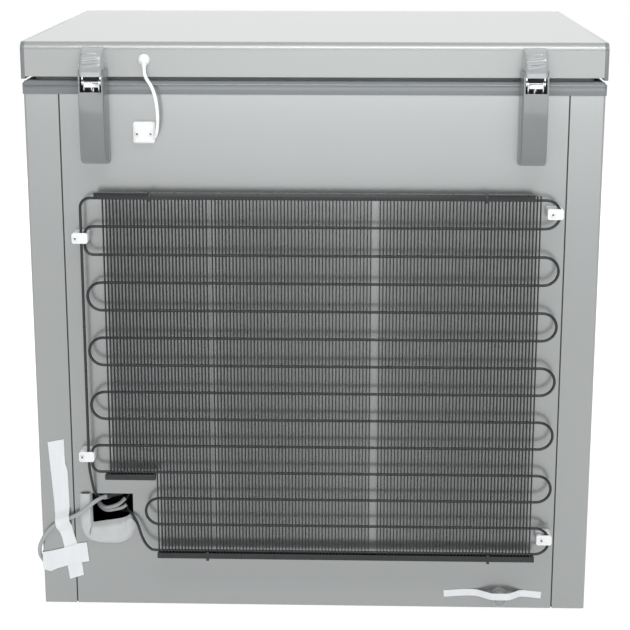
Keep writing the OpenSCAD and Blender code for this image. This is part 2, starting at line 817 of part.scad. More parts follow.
module lamp_housing() {
    color("white") difference() {
        box([lamp_cx - 55, lamp_y - 24, lid_z - 8], [lamp_cx + 55, lamp_y + 24, lid_z + sheet]);
        box([lamp_cx - 51, lamp_y - 20, lid_z - 9], [lamp_cx + 51, lamp_y + 20, lid_z - 1]);
    }
}

module lamp_cover() {
    color("white", 0.6) difference() {
        box([lamp_cx - 50.8, lamp_y - 19.8, lid_z - 10], [lamp_cx + 50.8, lamp_y + 19.8, lid_z - 7]);
        box([lamp_cx - 49, lamp_y - 18, lid_z - 8.8], [lamp_cx + 49, lamp_y + 18, lid_z - 6]);
    }
}

module lamp_bulb() {
    color("lightyellow") rod_x([lamp_cx, lamp_y, lid_z - 4.2], 2.6, 80, 24);
}

// ---- Basket, hung on the liner's ledge over the compressor step ----

basket_x0 = step_x + 5;
basket_x1 = tub_x - 8;
basket_z0 = 565;
rim_z = ledge_z + 0.4;

module storage_basket() {
    w = basket_x1 - basket_x0;
    d = tub_d - 14;
    color("white") translate([(basket_x0 + basket_x1) / 2, mid_y, 0]) difference() {
        union() {
            translate([0, 0, basket_z0]) linear_extrude(rim_z - basket_z0 + 1) round_rect(w - 4, d, 24);
            translate([0, 0, rim_z]) linear_extrude(4) round_rect(w, d + 24, 26);
        }
        translate([0, 0, basket_z0 + 3]) linear_extrude(400) round_rect(w - 10, d - 6, 21);
    }
}

// ---- Drain ----

module drain_plug() {
    color("white") translate([drain_x, plug_y, 0]) union() {
        translate([0, 0, tub_floor - 12]) cylinder(r = 8.6, h = 12.4, $fn = 48);
        translate([0, 0, tub_floor + 0.4]) cylinder(r = 16, h = 3, $fn = 48);
        translate([0, 0, tub_floor + 3.3]) cylinder(r = 6, h = 9, $fn = 32);
        translate([0, 0, tub_floor + 12]) cylinder(r = 9, h = 3, $fn = 32);
    }
}

module drain_pipe() {
    bore = 9.2;
    color("gray") difference() {
        drain_path(pipe_r - 0.1);
        translate([drain_x, plug_y, drain_z]) cylinder(r = bore, h = 100, $fn = 48);
        rod_y([drain_x, plug_y, drain_z], bore, 300, 48);
    }
}

module drain_outlet() {
    color("dimgray") translate([drain_x, back_y, drain_z]) rotate([-90, 0, 0]) rotate_extrude($fn = 48)
        polygon([[0, 0.05], [14.5, 0.05], [14.5, 1.5], [12, 1.8], [12, 12], [10.8, 14], [8, 14],
            [7.4, 13], [0, 13]]);
}

// ---- Feet and rollers ----

module front_feet() {
    color("dimgray") for (s = [-1, 1]) translate([s * roller_x, foot_y, 0]) rotate_extrude($fn = 48)
        polygon([[0, 0], [19, 0], [20.5, 2], [18, 8], [16, pan_z - 0.02], [0, pan_z - 0.02]]);
}

roller_r = 10;

module roller_brackets() {
    color("gainsboro") for (s = [-1, 1]) translate([s * roller_x, roller_y, 0]) difference() {
        union() {
            box([-26, -22, foot_h - 0.6], [26, 22, pan_z - 0.02]);
            for (t = [-1, 1]) translate([t * 13.75 - 0.75, -9, 4.5]) cube([1.5, 18, foot_h + 9]);
            box([-14.5, -9, foot_h + 12], [14.5, 9, foot_h + 13.5]);
        }
        box([-13, -13, 0], [13, 13, foot_h + 12]);
        rod_x([0, 0, roller_r], 2.52, 60, 48);
    }
}

module roller_axles() {
    color("lightgray") for (s = [-1, 1]) rod_x([s * roller_x, roller_y, roller_r], 2.5, 31, 48);
}

module roller() {
    translate([0, roller_y, roller_r]) rotate([0, 90, 0]) rotate_extrude($fn = 48)
        polygon([[2.56, -11.5], [8.5, -11.5], [roller_r, -10], [roller_r, 10], [8.5, 11.5], [2.56, 11.5]]);
}

module roller_right() {
    color("dimgray") translate([roller_x, 0, 0]) roller();
}

module roller_left() {
    color("dimgray") translate([-roller_x, 0, 0]) roller();
}

// ---- Soft sleeve folded out of the service hole ----

// It is thinner where the mains lead presses it down.
module hole_pouch() {
    color("lightgray") union() {
        along_y(back_y + 0.3, back_y + 9) polygon([[342.3, 152], [328.4, 152], [328, 142], [268, 153],
            [264, 149], [260, 142], [266, 128], [278, 118], [292, 115], [312, 115], [326, 119],
            [336, 130], [342, 148]]);
        along_y(back_y + 0.3, back_y + 3.4) polygon([[343, 187], [329, 187], [328, 150], [342, 150]]);
    }
}

// ---- Mains lead: out of the service hole, round the right-hand rear corner, down and forward ----

coil_turns_w = 22;
coil_h = 12.2;
coil_at = [side_x + 61.3, back_y - 512];
lead_route = [[297, 262, 183], [305, 266.5, 181.8], [313, 271.5, 180], [320.5, 276, 176.6],
    [327.5, 279.3, 172], [334.5, 281, 166.5], [341.5, 281.2, 161], [349, 280, 156], [357, 278, 151.6],
    [365.5, 276, 147.6], [374, 274.8, 143.4], [382.5, 274.6, 138], [390.5, 275, 131],
    [397.3, 275.2, 122.2], [403, 275.2, 111.6], [406.9, 272, 101.2], [408.6, 266.6, 91],
    [408.8, 259.2, 81], [407.6, 250, 71.5], [407, 240.5, 61], [406.8, 230.5, 49.5], [407.5, 219.5, 37.5],
    [409, 207.5, 26.5], [411.2, 194.5, 16.5], [413.8, 180, 9], [416, 164, 4.8], [418, 146, 3.3],
    [420, 100, 3.1], [421, 40, 3.1], [421, -30, 3.1], [419.5, -100, 3.1], [417.5, -160, 3.1],
    [416.8, -200, 3.1], [416.7, -221.4, 3.1]];
plug_route = [[502.2, -206.6, 9.6], [500, -201.8, 10.7], [497.7, -197, 12]];

module mains_lead() {
    color("gray") {
        sweep(smooth(lead_route, 2), lead_d / 2, 8, [0.3, 1, 0.2]);
        sweep(plug_route, lead_d / 2, 8);
    }
}

module mains_lead_coil() {
    color("gray") translate([coil_at.x, coil_at.y, 0]) rotate_extrude($fn = 64)
        translate([coil_r - coil_turns_w / 2, 0.1]) square([coil_turns_w, coil_h]);
}

// Tapered relief where the lead leaves the compressor bay.
module lead_gland() {
    from = lead_route[0];
    aim = lead_route[1] - from;
    color("dimgray") translate(from - 14 * unit(aim))
        rotate([0, acos(unit(aim).z), atan2(aim.y, aim.x)]) cylinder(r1 = 6.5, r2 = 4.4, h = 24, $fn = 32);
}

plug_at = [479.1, -156.9, 0];

module mains_plug() {
    color("dimgray") translate(plug_at) rotate([0, 0, 25]) union() {
        box([-13, -18, 0.3], [13, 20, 24]);
        box([-9, 19.5, 3], [9, 26, 21]);
        for (s = [-1, 1]) rod_y([s * 9.5, 26, 12], 2.4, 19, 24);
        rod_y([0, -44, 12], 4.5, 27, 24);
    }
}

// ---- Tape strips ----

tape_t = 0.5;

// A strip in Y and Z that lies on the back panel and steps out over the mains lead.
function over_lead(gap) = [[gap, 300], [gap, 176], [10.9 + gap, 162], [10.9 + gap, 130], [gap, 112], [gap, 20]];

module tape_band(gap) {
    low = over_lead(gap);
    high = [for (i = [len(low) - 1:-1:0]) low[i] + [tape_t, 0]];
    translate([0, back_y, 0]) along_x(320, 410) polygon(concat(low, high));
}

module upright_tape() {
    intersection() {
        tape_band(0.2);
        along_y(back_y, back_y + 20) polygon([[389, 266], [386, 222], [383, 176], [381, 140], [373, 115],
            [363.6, 50], [342.8, 57], [351, 100], [356.5, 128], [360, 150], [362, 222], [365, 234],
            [365, 272]]);
    }
}

// Crosses the foot of the upright strip and turns round the cabinet's corner.
module cross_tape() {
    along_y(back_y + 0.8, back_y + 0.8 + tape_t) polygon([[side_x + 0.7, 93], [side_x + 0.7, 66],
        [392, 63], [380, 68], [333.8, 79.5], [336.5, 109.5], [352, 107], [372, 99], [388, 95]]);
    box([side_x + 0.2, back_y - 16, 66], [side_x + 0.7, back_y + 1.3, 93]);
}

module drain_tape() {
    low = [[-194, 0.2], [-244, 0.2], [-262, 14.2], [-290, 14.2], [-308, 0.2], [-338, 0.2]];
    high = [for (i = [len(low) - 1:-1:0]) low[i] + [0, tape_t]];
    translate([0, back_y, 31]) linear_extrude(10.5) polygon(concat(low, high));
}

module tape_strips() {
    color("white") {
        upright_tape();
        union() cross_tape();
        drain_tape();
    }
}

// ---- Assembly. The lid's pieces turn about the hinge pins. ----

module on_lid() {
    translate([0, back_y + pin_at.x, pin_z]) rotate([-lid_angle, 0, 0])
        translate([0, -back_y - pin_at.x, -pin_z]) children();
}

front_panel();
side_panel_right();
side_panel_left();
back_panel();
base_pan();
cabinet_foam();
inner_liner();
top_collar();
evaporator_coil();
bay_lining();
bay_base_plate();
compressor_shell();
compressor_mount();
compressor_grommets();
terminal_box();
filter_drier();
bay_pipes();
vent_grille();
control_panel();
indicator_lights();
thermostat_body();
thermostat_knob();
condenser_tube();
condenser_wires();
condenser_rails();
condenser_clips();
panel_screws();
hinge_brackets();
hinge_pins();
hinge_springs();
hinge_covers();
on_lid() hinge_arms();
on_lid() hinge_caps();
lamp_lead();
on_lid() lamp_lead_grommet();
lamp_lead_plate();
on_lid() lid_skin();
on_lid() lid_end_trims();
on_lid() lid_foam();
on_lid() lid_liner();
on_lid() lid_gasket();
on_lid() lid_handle();
on_lid() lamp_housing();
on_lid() lamp_cover();
on_lid() lamp_bulb();
storage_basket();
drain_plug();
drain_pipe();
drain_outlet();
front_feet();
roller_brackets();
roller_axles();
roller_left();
roller_right();
hole_pouch();
mains_lead();
mains_lead_coil();
lead_gland();
mains_plug();
tape_strips();
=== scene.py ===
"""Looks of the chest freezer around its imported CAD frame. Metres, +Z up, the condenser faces +Y."""
import json
import math

import bmesh
import bpy
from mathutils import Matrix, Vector, noise


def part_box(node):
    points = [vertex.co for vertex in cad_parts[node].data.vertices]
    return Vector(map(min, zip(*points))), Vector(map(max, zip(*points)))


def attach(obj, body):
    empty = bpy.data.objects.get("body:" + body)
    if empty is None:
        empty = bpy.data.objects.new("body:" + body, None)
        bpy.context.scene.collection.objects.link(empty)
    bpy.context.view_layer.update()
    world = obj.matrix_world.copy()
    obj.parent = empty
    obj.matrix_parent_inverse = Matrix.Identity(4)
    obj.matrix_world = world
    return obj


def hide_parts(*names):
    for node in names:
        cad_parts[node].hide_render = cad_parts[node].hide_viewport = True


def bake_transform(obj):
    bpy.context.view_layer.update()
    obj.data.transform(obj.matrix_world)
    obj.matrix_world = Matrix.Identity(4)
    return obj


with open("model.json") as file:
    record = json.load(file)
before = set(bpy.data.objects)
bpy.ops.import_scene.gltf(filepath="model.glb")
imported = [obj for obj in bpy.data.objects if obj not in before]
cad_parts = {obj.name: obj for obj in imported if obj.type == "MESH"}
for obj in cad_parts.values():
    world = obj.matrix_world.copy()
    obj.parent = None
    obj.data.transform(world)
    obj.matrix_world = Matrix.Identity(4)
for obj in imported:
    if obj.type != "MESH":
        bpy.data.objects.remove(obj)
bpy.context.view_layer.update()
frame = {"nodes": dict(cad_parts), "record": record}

MM = 0.001
SCENE = bpy.context.scene
NODES = frame["nodes"]

# ---- Places taken from the frame ----

BACK_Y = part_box("back_panel")[1].y
LID_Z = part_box("lid_skin")[0].z
COLLAR_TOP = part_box("top_collar")[1].z


def back(x, out, z):
    """A point given in millimetres, with its distance out from the back panel."""
    return Vector((x * MM, BACK_Y + out * MM, z * MM))


def mm(x, y, z):
    """A point given in millimetres."""
    return Vector((x, y, z)) * MM


# ---- Camera, light and floor ----

# Behind the freezer and a little above its lid. The angles are in degrees.
CAMERA_AT = (-0.06, 2.371, 1.06)
CAMERA_PITCH = 13.05
CAMERA_YAW = 1.57
LENS = 87.3


def make_camera():
    data = bpy.data.cameras.new("camera")
    data.lens = LENS
    data.sensor_width = 36
    data.shift_y = -0.12
    data.clip_start = 0.05
    data.clip_end = 100
    cam = bpy.data.objects.new("camera", data)
    cam.location = CAMERA_AT
    cam.rotation_euler = (math.radians(90 - CAMERA_PITCH), 0, math.radians(180 + CAMERA_YAW))
    SCENE.collection.objects.link(cam)
    SCENE.camera = cam


def area_light(name, at, target, size, power):
    data = bpy.data.lights.new(name, "AREA")
    data.shape = "RECTANGLE"
    data.size, data.size_y = size
    data.energy = power
    lamp = bpy.data.objects.new(name, data)
    lamp.location = at
    lamp.visible_camera = False
    lamp.rotation_euler = (Vector(target) - Vector(at)).to_track_quat("-Z", "Y").to_euler()
    SCENE.collection.objects.link(lamp)


def make_lights():
    world = bpy.data.worlds.new("studio")
    world.use_nodes = True
    world.node_tree.nodes["Background"].inputs[0].default_value = (1, 1, 1, 1)
    world.node_tree.nodes["Background"].inputs[1].default_value = 0.42
    SCENE.world = world
    area_light("overhead", (0.0, -1.4, 3.4), (0, -1.3, 0.0), (4.6, 5.0), 36)
    area_light("behind_key", (-0.2, 1.15, 1.95), (-0.1, 0.275, 0.72), (1.7, 0.4), 18)
    area_light("behind_wall", (-0.2, 4.4, 0.95), (0, 0.275, 0.6), (3.0, 1.5), 36)
    area_light("front", (0.0, -3.4, 1.55), (0, 0, 0.9), (4.8, 2.2), 52)
    SCENE.view_settings.view_transform = "Standard"


def make_floor():
    half = 90.0
    mesh = bpy.data.meshes.new("floor")
    corners = [(-half, -half, 0), (half, -half, 0), (half, half, 0), (-half, half, 0)]
    mesh.from_pydata(corners, [], [(0, 1, 2, 3)])
    floor = bpy.data.objects.new("floor", mesh)
    SCENE.collection.objects.link(floor)
    white = bpy.data.materials.new("floor_white")
    white.use_nodes = True
    shader = white.node_tree.nodes["Principled BSDF"]
    shader.inputs["Base Color"].default_value = (0.45, 0.45, 0.45, 1)
    shader.inputs["Roughness"].default_value = 0.9
    shader.inputs["Specular IOR Level"].default_value = 0.1
    shader.inputs["Emission Color"].default_value = (1, 1, 1, 1)
    shader.inputs["Emission Strength"].default_value = 0.8
    mesh.materials.append(white)


# ---- Materials ----

def surface(name, color, rough=0.5, metal=0.0, vary=0.04, coarse=3.0, fine=400.0, bump=0.05,
            bump_distance=0.0004, coat=0.0, coat_rough=0.1, stretch=(1, 1, 1), rough_vary=0.06,
            sheen=0.0, transmission=0.0, specular=0.5, cells=False):
    """A shader whose colour and roughness drift over the surface, with a fine bump of its own.

    The bump is noise, or with cells a pattern of cells. The scales count repeats to the metre.
    """
    mat = bpy.data.materials.new(name)
    mat.use_nodes = True
    tree = mat.node_tree
    shader = tree.nodes["Principled BSDF"]
    shader.inputs["Metallic"].default_value = metal
    shader.inputs["Coat Weight"].default_value = coat
    shader.inputs["Coat Roughness"].default_value = coat_rough
    shader.inputs["Sheen Weight"].default_value = sheen
    shader.inputs["Transmission Weight"].default_value = transmission
    shader.inputs["Specular IOR Level"].default_value = specular
    place = tree.nodes.new("ShaderNodeTexCoord")
    scale = tree.nodes.new("ShaderNodeMapping")
    scale.inputs["Scale"].default_value = stretch
    tree.links.new(place.outputs["Object"], scale.inputs["Vector"])
    drift = tree.nodes.new("ShaderNodeTexNoise")
    drift.inputs["Scale"].default_value = coarse
    drift.inputs["Detail"].default_value = 5
    tree.links.new(scale.outputs[0], drift.inputs["Vector"])
    ramp = tree.nodes.new("ShaderNodeValToRGB")
    ramp.color_ramp.elements[0].position = 0.3
    ramp.color_ramp.elements[1].position = 0.7
    ramp.color_ramp.elements[0].color = [c * (1 - vary) for c in color] + [1]
    ramp.color_ramp.elements[1].color = [min(1, c * (1 + vary)) for c in color] + [1]
    tree.links.new(drift.outputs["Fac"], ramp.inputs["Fac"])
    tree.links.new(ramp.outputs["Color"], shader.inputs["Base Color"])
    spread = tree.nodes.new("ShaderNodeMapRange")
    spread.inputs["To Min"].default_value = max(0.02, rough - rough_vary)
    spread.inputs["To Max"].default_value = min(1, rough + rough_vary)
    tree.links.new(drift.outputs["Fac"], spread.inputs["Value"])
    tree.links.new(spread.outputs["Result"], shader.inputs["Roughness"])
    grain = tree.nodes.new("ShaderNodeTexVoronoi" if cells else "ShaderNodeTexNoise")
    grain.inputs["Scale"].default_value = fine
    if not cells:
        grain.inputs["Detail"].default_value = 3
    height = grain.outputs["Distance" if cells else "Fac"]
    tree.links.new(scale.outputs[0], grain.inputs["Vector"])
    dent = tree.nodes.new("ShaderNodeBump")
    dent.inputs["Strength"].default_value = bump
    dent.inputs["Distance"].default_value = bump_distance
    tree.links.new(height, dent.inputs["Height"])
    tree.links.new(dent.outputs["Normal"], shader.inputs["Normal"])
    return mat


MATS = {
    "cabinet_metal": surface("cabinet_paint", (0.31, 0.322, 0.321), rough=0.27, metal=0.6, vary=0.008,
                             coarse=5, fine=520, bump=0.03, bump_distance=0.0002, coat=0.5, coat_rough=0.08,
                             stretch=(1, 1, 0.05), rough_vary=0.012),
    "lid_metal": surface("lid_paint", (0.35, 0.363, 0.361), rough=0.42, metal=0.6, vary=0.006, coarse=2,
                         fine=900, bump=0.006, bump_distance=0.0002, coat=0.15, coat_rough=0.4,
                         rough_vary=0.008),
    "galvanised": surface("galvanised_steel", (0.55, 0.56, 0.57), rough=0.38, metal=0.9, vary=0.12, coarse=60,
                          fine=120, bump=0.1, cells=True),
    "foam": surface("foam_yellow", (0.72, 0.66, 0.45), rough=0.9, fine=300, bump=0.5,
                    cells=True),
    "liner_white": surface("liner_stucco", (0.86, 0.875, 0.88), rough=0.35, vary=0.015, fine=330, bump=0.35,
                           bump_distance=0.0005, coat=0.3, cells=True),
    "collar_plastic": surface("collar_grey", (0.165, 0.18, 0.188), rough=0.2, vary=0.03, fine=700, bump=0.03,
                              coat=0.4, coat_rough=0.06),
    "trim_plastic": surface("trim_grey", (0.17, 0.18, 0.185), rough=0.32, vary=0.03, fine=900, bump=0.06),
    "copper": surface("copper_tube", (0.62, 0.33, 0.2), rough=0.3, metal=1.0, vary=0.15, coarse=30, fine=300),
    "black_enamel": surface("black_enamel", (0.012, 0.012, 0.014), rough=0.22, vary=0.2, fine=250, bump=0.08,
                            coat=0.6, coat_rough=0.1),
    "black_plastic": surface("black_rubber", (0.02, 0.02, 0.021), rough=0.6, fine=600, bump=0.15),
    "vent_plastic": surface("vent_grey", (0.30, 0.31, 0.32), rough=0.5, fine=900, bump=0.15),
    "panel_plastic": surface("panel_grey", (0.11, 0.12, 0.128), rough=0.34, fine=800, bump=0.08, coat=0.15),
    "indicator_lens": surface("amber_lens", (0.75, 0.28, 0.05), rough=0.12, fine=200, bump=0.02,
                              transmission=0.3, coat=0.5),
    "condenser_enamel": surface("condenser_enamel", (0.013, 0.016, 0.017), rough=0.28, vary=0.15, coarse=40,
                                fine=500, bump=0.06, coat=0.12, coat_rough=0.2, specular=0.4),
    "white_plastic": surface("white_moulding", (0.76, 0.775, 0.78), rough=0.28, vary=0.015, fine=700, bump=0.05,
                             coat=0.2),
    "zinc": surface("bright_zinc", (0.72, 0.73, 0.75), rough=0.24, metal=1.0, vary=0.1, coarse=70, fine=300,
                    bump=0.06),
    "spring_steel": surface("spring_steel", (0.25, 0.25, 0.26), rough=0.35, metal=1.0, vary=0.1, fine=400),
    "hinge_plastic": surface("hinge_grey", (0.152, 0.162, 0.162), rough=0.2, vary=0.03, coarse=12, fine=500,
                             bump=0.03, coat=0.55, coat_rough=0.07),
    "cap_plastic": surface("hinge_cap_grey", (0.30, 0.315, 0.322), rough=0.17, vary=0.05, coarse=40, fine=300,
                           bump=0.03, coat=0.7, coat_rough=0.05),
    "white_lead": surface("white_lead", (0.88, 0.89, 0.9), rough=0.4, vary=0.01, fine=600, bump=0.04),
    "gasket_rubber": surface("gasket_vinyl", (0.33, 0.34, 0.345), rough=0.5, fine=900, bump=0.08),
    "lens": surface("frosted_lens", (0.9, 0.91, 0.91), rough=0.35, transmission=0.6, fine=260, bump=0.3,
                    cells=True),
    "bulb": surface("pearl_glass", (0.95, 0.93, 0.86), rough=0.2, transmission=0.4, fine=100, bump=0.02),
    "basket_wire": surface("coated_wire", (0.86, 0.87, 0.87), rough=0.3, vary=0.015, fine=400, bump=0.06,
                           coat=0.3),
    "drain_plastic": surface("drain_grey", (0.30, 0.31, 0.312), rough=0.4, fine=700, bump=0.08),
    "foot_plastic": surface("foot_black", (0.03, 0.03, 0.032), rough=0.5, fine=500, bump=0.15),
    "felt": surface("sleeve_felt", (0.50, 0.515, 0.52), rough=0.9, vary=0.05, coarse=60, fine=1300, bump=0.6,
                    bump_distance=0.0006, sheen=0.4, specular=0.2),
    "lead_pvc": surface("lead_grey", (0.35, 0.365, 0.37), rough=0.42, vary=0.03, fine=700, bump=0.06),
    "plug_plastic": surface("plug_dark", (0.06, 0.06, 0.063), rough=0.45, fine=600, bump=0.1),
    "tape": surface("film_tape", (0.70, 0.725, 0.74), rough=0.42, vary=0.03, coarse=90, fine=900, bump=0.25,
                    bump_distance=0.0003, stretch=(1, 1, 0.15)),
}


# ---- Making pieces ----

def put(obj, body, slot, replaced=(), mat=None):
    """Gives a piece its material, its body and the CAD nodes that it stands for."""
    if obj.name not in SCENE.collection.objects:
        SCENE.collection.objects.link(obj)
    obj.data.materials.clear()
    obj.data.materials.append(MATS[mat or slot])
    if body:
        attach(obj, body)
    if replaced:
        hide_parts(*replaced)
    return obj


def mesh_piece(name, verts, faces, smooth=True):
    mesh = bpy.data.meshes.new(name)
    mesh.from_pydata([tuple(v) for v in verts], [], faces)
    mesh.validate()
    obj = bpy.data.objects.new(name, mesh)
    SCENE.collection.objects.link(obj)
    if smooth:
        mesh.shade_smooth()
    return obj


def apply_modifiers(obj, sharp=40):
    bpy.context.view_layer.update()
    shown = obj.evaluated_get(bpy.context.evaluated_depsgraph_get())
    mesh = bpy.data.meshes.new_from_object(shown)
    obj.modifiers.clear()
    obj.data = mesh
    mesh.shade_smooth()
    mesh.set_sharp_from_angle(angle=math.radians(sharp))
    return obj


def softened(node, body, slot, width, segments=3):
    """A copy of a CAD node's mesh with rounded edges, which stands for the node."""
    mesh = NODES[node].data.copy()
    shape = bmesh.new()
    shape.from_mesh(mesh)
    bmesh.ops.remove_doubles(shape, verts=shape.verts, dist=2e-6)
    middle = sum((v.co for v in shape.verts), Vector()) / len(shape.verts)
    for normal in ((1, 0, 0), (0, 1, 0)):
        # A flat ring is cut in two, because one face can't have a hole in it.
        cut = bmesh.ops.bisect_plane(shape, geom=shape.verts[:] + shape.edges[:] + shape.faces[:],
                                     plane_co=middle, plane_no=normal, dist=1e-7)
        for part in cut["geom_cut"]:
            if isinstance(part, bmesh.types.BMEdge):
                part.seam = True
    bmesh.ops.dissolve_limit(shape, angle_limit=math.radians(0.6), verts=shape.verts, edges=shape.edges,
                             delimit={"SEAM"})
    bmesh.ops.triangulate(shape, faces=[f for f in shape.faces if len(f.verts) > 12])
    shape.to_mesh(mesh)
    shape.free()
    if "custom_normal" in mesh.attributes:
        mesh.attributes.remove(mesh.attributes["custom_normal"])
    obj = bpy.data.objects.new(node + "_soft", mesh)
    SCENE.collection.objects.link(obj)
    bevel = obj.modifiers.new("bevel", "BEVEL")
    bevel.width = width * MM
    bevel.segments = segments
    bevel.limit_method = "ANGLE"
    bevel.angle_limit = math.radians(28)
    apply_modifiers(obj)
    return put(obj, body, slot, [node])


def smooth_line(points, steps):
    """Catmull-Rom curve through the points."""
    pts = [Vector(p) for p in points]
    out = []
    for i in range(len(pts) - 1):
        a, b, c, d = pts[max(i - 1, 0)], pts[i], pts[i + 1], pts[min(i + 2, len(pts) - 1)]
        for k in range(steps):
            t = k / steps
            out.append(0.5 * (2 * b + (c - a) * t + (2 * a - 5 * b + 4 * c - d) * t * t
                              + (3 * b - a - 3 * c + d) * t ** 3))
    return out + [pts[-1]]


def tube(name, points, radius, sides=4, radii=None):
    """A round tube along a list of points."""
    curve = bpy.data.curves.new(name, "CURVE")
    curve.dimensions = "3D"
    curve.bevel_depth = radius * MM
    curve.bevel_resolution = sides
    curve.use_fill_caps = True
    line = curve.splines.new("POLY")
    line.points.add(len(points) - 1)
    for i, p in enumerate(points):
        line.points[i].co = (*p, 1)
        line.points[i].radius = radii[i] if radii else 1
    line.use_smooth = True
    obj = bpy.data.objects.new(name, curve)
    SCENE.collection.objects.link(obj)
    return obj


def merged(name, objs):
    """One mesh piece out of several curve or mesh objects."""
    graph = bpy.context.evaluated_depsgraph_get()
    shape = bmesh.new()
    for o in objs:
        mesh = bpy.data.meshes.new_from_object(o.evaluated_get(graph))
        mesh.transform(o.matrix_world)
        shape.from_mesh(mesh)
        bpy.data.meshes.remove(mesh)
    for o in objs:
        bpy.data.objects.remove(o)
    mesh = bpy.data.meshes.new(name)
    shape.to_mesh(mesh)
    shape.free()
    obj = bpy.data.objects.new(name, mesh)
    SCENE.collection.objects.link(obj)
    mesh.shade_smooth()
    mesh.set_sharp_from_angle(angle=math.radians(50))
    return obj


def grid_faces(rows, cols, close=False):
    """Faces between rows of points, each row running on into a ring if it's closed."""
    wide = cols if close else cols - 1
    return [(i * cols + j, i * cols + (j + 1) % cols, (i + 1) * cols + (j + 1) % cols, (i + 1) * cols + j)
            for i in range(rows - 1) for j in range(wide)]


def thicken(obj, amount, offset=0.0):
    """Gives a sheet a thickness in millimetres."""
    solid = obj.modifiers.new("thickness", "SOLIDIFY")
    solid.thickness = amount * MM
    solid.offset = offset
    return obj


# ---- Mains lead ----

LEAD_D = 6.0
LEAD_ROUTE = [(297, 262, 183), (305, 266.5, 181.8), (313, 271.5, 180), (320.5, 276, 176.6),
              (327.5, 279.3, 172), (334.5, 281, 166.5), (341.5, 281.2, 161), (349, 280, 156),
              (357, 278, 151.6), (365.5, 276, 147.6), (374, 274.8, 143.4), (382.5, 274.6, 138),
              (390.5, 275, 131), (397.3, 275.2, 122.2), (403, 275.2, 111.6), (406.9, 272, 101.2),
              (408.6, 266.6, 91), (408.8, 259.2, 81), (407.6, 250, 71.5), (407, 240.5, 61),
              (406.8, 230.5, 49.5), (407.5, 219.5, 37.5), (409, 207.5, 26.5), (411.2, 194.5, 16.5),
              (413.8, 180, 9), (416, 164, 4.8), (418, 146, 3.3), (420, 100, 3.1), (421, 40, 3.1),
              (421, -30, 3.1), (419.5, -100, 3.1), (417.5, -160, 3.1), (416.8, -200, 3.1),
              (416.7, -221.4, 3.1)]
PLUG_ROUTE = [(502.2, -206.6, 9.6), (500, -201.8, 10.7), (497.7, -197, 12)]
COIL_AT = (463.8, -241.0)
COIL_R = 47.1
TURN_PITCH = 7.2
TURN_STEPS = 36


def coil_line():
    """Two turns inwards on the floor, a climb at the inside, and two turns outwards on top of them."""
    start, low, high = 180.0, 3.1, 9.2
    inner = COIL_R - 2 * TURN_PITCH
    climb = 205.0
    pts = []
    total = 4 * 360 + climb
    count = int(total / 360 * TURN_STEPS)
    for k in range(count + 1):
        turn = total * k / count
        if turn <= 720:
            r, z = COIL_R - TURN_PITCH * turn / 360, low
        elif turn <= 720 + climb:
            t = (turn - 720) / climb
            r, z = inner, low + (high - low) * (3 * t * t - 2 * t ** 3)
        else:
            r, z = inner + TURN_PITCH * (turn - 720 - climb) / 360, high
        a = math.radians(start + turn)
        pts.append(mm(COIL_AT[0] + r * math.cos(a), COIL_AT[1] + r * math.sin(a), z))
    return pts


def make_lead():
    route = smooth_line([mm(*p) for p in LEAD_ROUTE], 3)
    line = route + coil_line() + [mm(*p) for p in PLUG_ROUTE]
    lead = tube("mains_lead_curve", line, LEAD_D / 2, 5)
    put(lead, "root", "lead_pvc", ["mains_lead", "mains_lead_coil"])
    plug = softened("mains_plug", "root", "plug_plastic", 1.6)
    return line


def make_gland():
    """Ribbed, tapered strain relief where the lead leaves the compressor bay."""
    start = mm(*LEAD_ROUTE[0])
    aim = (mm(*LEAD_ROUTE[1]) - start).normalized()
    steps, inside, length, wide, taper = 32, 14, 24, 6.4, 2.0
    points, radii = [], []
    for k in range(steps + 1):
        t = k / steps
        points.append(start + aim * (-inside + length * t) * MM)
        rib = 0.5 if k % 4 in (1, 2) and 6 < k < 31 else 0
        radii.append((wide - taper * t - rib) / wide)
    put(tube("lead_gland_ribbed", points, wide, 6, radii), "root", "black_plastic", ["lead_gland"])


# ---- Condenser ----

def arc(cx, out, cz, r, a0, a1, n=14):
    """Points along an arc in a plane that stands out from the back panel, from angle a0 to a1 in degrees."""
    angles = [math.radians(a0 + (a1 - a0) * k / n) for k in range(n + 1)]
    return [back(cx + r * math.cos(a), out, cz + r * math.sin(a)) for a in angles]


# Runs of the serpentine, its bends, and the tighter bends that pass behind the clips on the right.
RUNS, PITCH, TOP_RUN, STAND_OFF = 14, 40.6, 635.0, 20.0
BEND_LEFT, BEND_RIGHT, SHORT_BEND = -323.5, 299, 224
CLIPPED_BENDS, CLIPPED_R = (1, 9), 12
CLIPPED_AT = BEND_RIGHT + 9.6


